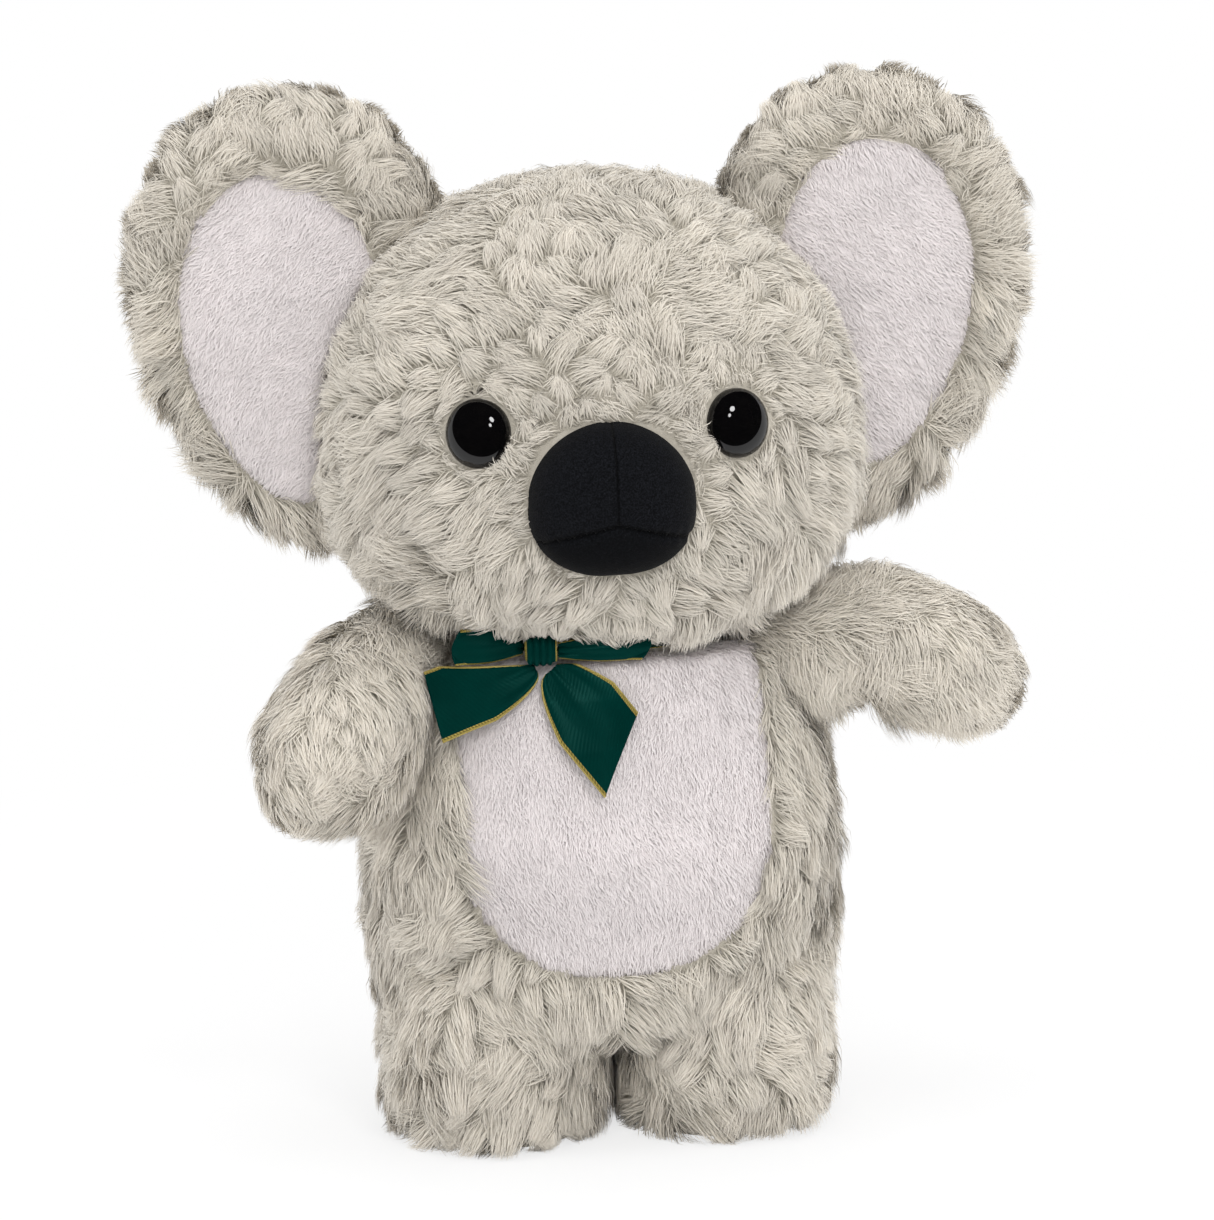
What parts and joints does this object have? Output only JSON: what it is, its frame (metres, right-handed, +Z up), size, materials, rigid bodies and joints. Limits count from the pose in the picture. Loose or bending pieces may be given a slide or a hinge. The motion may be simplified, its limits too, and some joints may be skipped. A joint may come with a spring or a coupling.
{
  "type": "plush koala",
  "caption": "Standing stuffed koala with big round ears on a turning head, two swinging arms, flat feet, a pale belly and a satin neck bow.",
  "frame": {"origin": "on the ground, under the middle of the toy's outline", "axes": "+Z up, the face looks along -Y, and the toy's own left is at +X"},
  "size_m": [0.25, 0.137, 0.2948],
  "materials": {
    "long_pile": "curly long pile plush, warm light grey",
    "short_pile": "short sleek pile plush, pinkish white",
    "fibre": "loose polyester fibre",
    "nose_cloth": "matte brushed black cloth",
    "eye_plastic": "glossy black",
    "washer_plastic": "moulded",
    "satin": "dark green satin with gold edge threads",
    "sole_cloth": "plain woven cloth"
  },
  "bodies": {
    "torso": {"belly_panel": "short_pile", "bow_knot": "satin", "bow_loop_left": "satin", "bow_loop_right": "satin", "bow_tail_left": "satin", "bow_tail_right": "satin", "leg_cover_left": "long_pile", "leg_cover_right": "long_pile", "leg_filling_left": "fibre", "leg_filling_right": "fibre", "ribbon_neck_band": "satin", "sole_left": "sole_cloth", "sole_right": "sole_cloth", "torso_cover": "long_pile", "torso_filling": "fibre"},
    "head": {"eye_left": "eye_plastic", "eye_right": "eye_plastic", "eye_washer_left": "washer_plastic", "eye_washer_right": "washer_plastic", "head_cover": "long_pile", "head_filling": "fibre", "nose_filling": "fibre", "nose_panel_lower": "nose_cloth", "nose_panel_upper_left": "nose_cloth", "nose_panel_upper_right": "nose_cloth"},
    "ear_left": {"ear_cover_left": "long_pile", "ear_panel_left": "short_pile", "ear_wadding_left": "fibre"},
    "arm_left": {"arm_cover_left": "long_pile", "arm_filling_left": "fibre"},
    "ear_right": {"ear_cover_right": "long_pile", "ear_panel_right": "short_pile", "ear_wadding_right": "fibre"},
    "arm_right": {"arm_cover_right": "long_pile", "arm_filling_right": "fibre"}
  },
  "joints": [
    {"name": "neck_turn", "type": "hinge", "parent": "torso", "child": "head", "pos_m": [0, 0.0085, 0.15], "axis": [0, 0, 1], "range_deg": [-20, 20], "stiffness_Nm_per_rad": 0.25},
    {"name": "ear_fold_left", "type": "hinge", "parent": "head", "child": "ear_left", "pos_m": [0.06215, 0.0165, 0.21856], "axis": [0.3206, 0, -0.9472], "range_deg": [-18, 18], "stiffness_Nm_per_rad": 0.05},
    {"name": "ear_fold_right", "type": "hinge", "parent": "head", "child": "ear_right", "pos_m": [-0.06215, 0.0165, 0.21856], "axis": [-0.3206, 0, -0.9472], "range_deg": [-18, 18], "stiffness_Nm_per_rad": 0.05},
    {"name": "shoulder_left", "type": "hinge", "parent": "torso", "child": "arm_left", "pos_m": [0.056, 0.0005, 0.1345], "axis": [0, -1, 0], "range_deg": [-59, 25]},
    {"name": "shoulder_right", "type": "hinge", "parent": "torso", "child": "arm_right", "pos_m": [-0.056, 0.0005, 0.1345], "axis": [0, 1, 0], "range_deg": [0, 63.5]}
  ]
}
